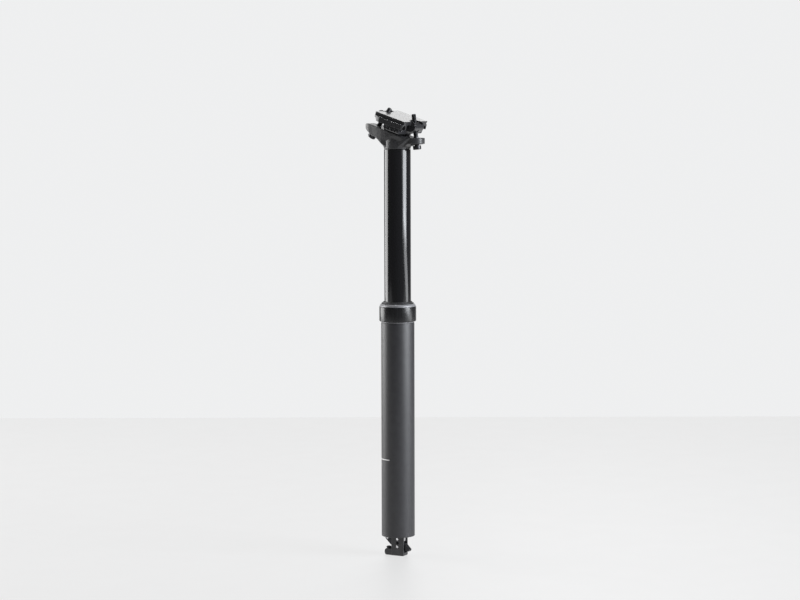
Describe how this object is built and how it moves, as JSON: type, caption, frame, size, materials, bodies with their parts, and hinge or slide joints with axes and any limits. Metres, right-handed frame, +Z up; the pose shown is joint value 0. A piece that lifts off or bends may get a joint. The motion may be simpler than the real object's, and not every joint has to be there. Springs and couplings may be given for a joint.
{
  "type": "dropper seatpost",
  "caption": "Telescoping bicycle seatpost with a sealed collar, a twin-bolt saddle clamp and a cable lever under the outer tube.",
  "frame": {"origin": "on the post's axis, at the collar's underside, where the post rests on a frame's seat tube", "axes": "+Z up the post's axis, -Y towards the front of the bicycle, +X sideways to its left"},
  "size_m": [0.054, 0.0678, 0.4709],
  "materials": {
    "tube_satin": "bead blasted, anodised satin black",
    "gloss_anodised": "polished, gloss black anodised",
    "forged_satin": "forged alloy, satin black",
    "clamp_gloss": "forged alloy, gloss black",
    "bare_alloy": "turned, bare",
    "steel": "ground and polished",
    "black_steel": "black oxide steel",
    "brass": "turned brass",
    "seal_rubber": "nitrile rubber, matt",
    "guide_plastic": "filled acetal, matt"
  },
  "bodies": {
    "outer_post": {"outer_tube": "tube_satin", "seal_collar": "gloss_anodised", "wiper_seal": "seal_rubber", "oil_seal": "seal_rubber", "upper_bushing": "guide_plastic", "bottom_cap": "bare_alloy", "cap_o_ring": "seal_rubber", "cartridge_rod": "steel", "cartridge_piston": "bare_alloy", "piston_seal": "seal_rubber", "piston_nut": "steel", "rod_lock_nut": "steel", "actuator_bracket": "forged_satin", "housing_stop": "black_steel", "cap_pin_left": "steel", "cap_pin_right": "steel", "lever_pivot_pin": "steel"},
    "inner_post": {"stanchion_tube": "gloss_anodised", "saddle_head": "forged_satin", "anti_rotation_key_1": "brass", "anti_rotation_key_2": "brass", "anti_rotation_key_3": "brass", "lower_bushing": "guide_plastic", "top_out_bumper": "seal_rubber", "cartridge_cylinder": "bare_alloy", "cartridge_gland": "bare_alloy", "rod_seal": "seal_rubber", "gas_fill_cap": "bare_alloy", "cartridge_circlip": "steel"},
    "gas_piston": {"floating_piston": "guide_plastic"},
    "saddle_clamp": {"lower_cradle": "clamp_gloss", "upper_clamp": "clamp_gloss"},
    "front_bolt": {"front_clamp_bolt": "black_steel", "front_washer": "black_steel"},
    "rear_bolt": {"rear_clamp_bolt": "black_steel", "rear_washer": "black_steel"},
    "front_nut": {"front_barrel_nut": "black_steel"},
    "rear_nut": {"rear_barrel_nut": "black_steel"},
    "lever": {"actuator_lever": "black_steel", "cable_barrel": "steel"},
    "release": {"release_pin": "steel"}
  },
  "joints": [
    {"name": "post_slide", "type": "slide", "parent": "outer_post", "child": "inner_post", "axis": [0, 0, 1], "range_m": [-0.15, 0], "stiffness_N_per_m": 80, "springref_m": 1},
    {"name": "gas_piston_slide", "type": "slide", "parent": "inner_post", "child": "gas_piston", "axis": [0, 0, 1], "range_m": [0, 0.036]},
    {"name": "saddle_tilt", "type": "hinge", "parent": "inner_post", "child": "saddle_clamp", "pos_m": [0, -0.0026, 0.2061], "axis": [1, 0, 0], "range_deg": [-8, 8]},
    {"name": "front_bolt_pivot", "type": "hinge", "parent": "inner_post", "child": "front_bolt", "pos_m": [0, -0.02306, 0.1844], "axis": [1, 0, 0], "range_deg": [-2.4, 2.4]},
    {"name": "rear_bolt_pivot", "type": "hinge", "parent": "inner_post", "child": "rear_bolt", "pos_m": [0, 0.0283, 0.1956], "axis": [1, 0, 0], "range_deg": [-1.4, 1.4]},
    {"name": "front_nut_swivel", "type": "hinge", "parent": "saddle_clamp", "child": "front_nut", "pos_m": [0, -0.02084, 0.20333], "axis": [1, 0, 0], "range_deg": [-10.6, 10.6]},
    {"name": "rear_nut_swivel", "type": "hinge", "parent": "saddle_clamp", "child": "rear_nut", "pos_m": [0, 0.01383, 0.21459], "axis": [1, 0, 0], "range_deg": [-9.6, 9.6]},
    {"name": "lever_pivot", "type": "hinge", "parent": "outer_post", "child": "lever", "pos_m": [0, -0.0015, -0.2385], "axis": [-1, 0, 0], "range_deg": [0, 14], "stiffness_Nm_per_rad": 0.4, "springref_deg": -20.05},
    {"name": "release_slide", "type": "slide", "parent": "outer_post", "child": "release", "axis": [0, 0, 1], "range_m": [0, 0.0019]}
  ],
  "couplings": [
    {"joint": "gas_piston_slide", "follows": "post_slide", "ratio": -0.2268},
    {"joint": "front_bolt_pivot", "follows": "saddle_tilt", "ratio": -0.25603},
    {"joint": "rear_bolt_pivot", "follows": "saddle_tilt", "ratio": -0.13406},
    {"joint": "front_nut_swivel", "follows": "saddle_tilt", "ratio": -1.256},
    {"joint": "rear_nut_swivel", "follows": "saddle_tilt", "ratio": -1.1341},
    {"joint": "release_slide", "follows": "lever_pivot", "m_per_rad": 0.0074}
  ]
}
